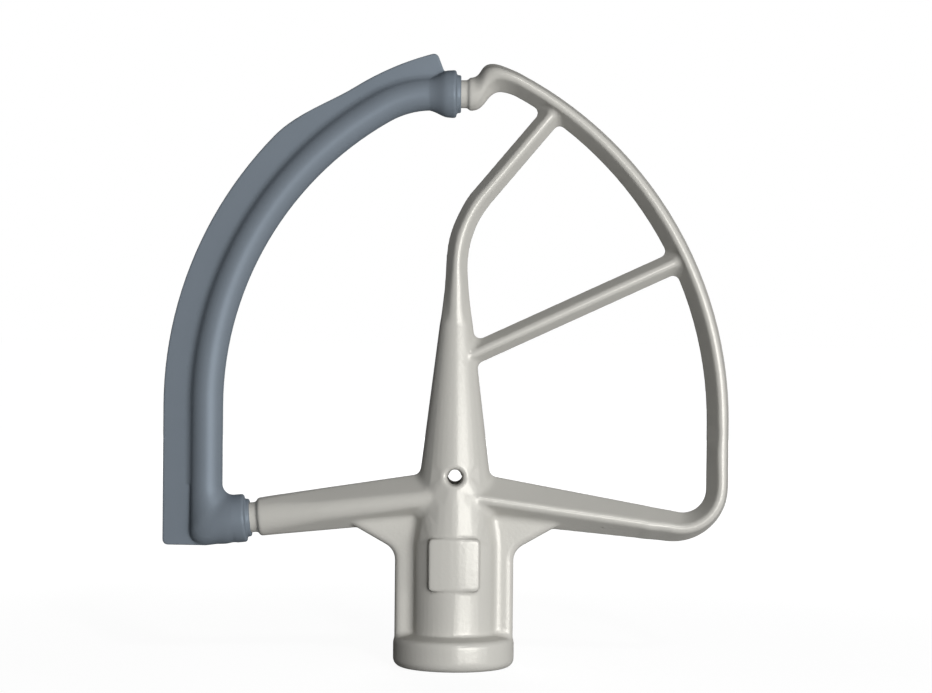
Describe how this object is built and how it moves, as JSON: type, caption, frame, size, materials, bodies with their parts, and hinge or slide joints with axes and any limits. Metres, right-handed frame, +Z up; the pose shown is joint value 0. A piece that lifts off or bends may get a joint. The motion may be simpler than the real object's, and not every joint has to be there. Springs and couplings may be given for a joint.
{
  "type": "stand mixer flat beater",
  "caption": "Flat beater for a stand mixer: coated cast frame with a hub socket, a braced rim and a soft silicone scraping edge along one side.",
  "frame": {"origin": "middle of the socket's mouth, on the socket's axis", "axes": "+Z up the socket to the blade, as the beater stands on its hub; +X to the rim side; -Y is the front"},
  "size_m": [0.1598, 0.0342, 0.173],
  "materials": {
    "coated_casting": "smooth pearl grey coat, satin gloss",
    "silicone": "matte moulded silicone"
  },
  "bodies": {
    "root": {"cast_frame": "coated_casting", "flex_edge": "silicone"}
  },
  "joints": []
}
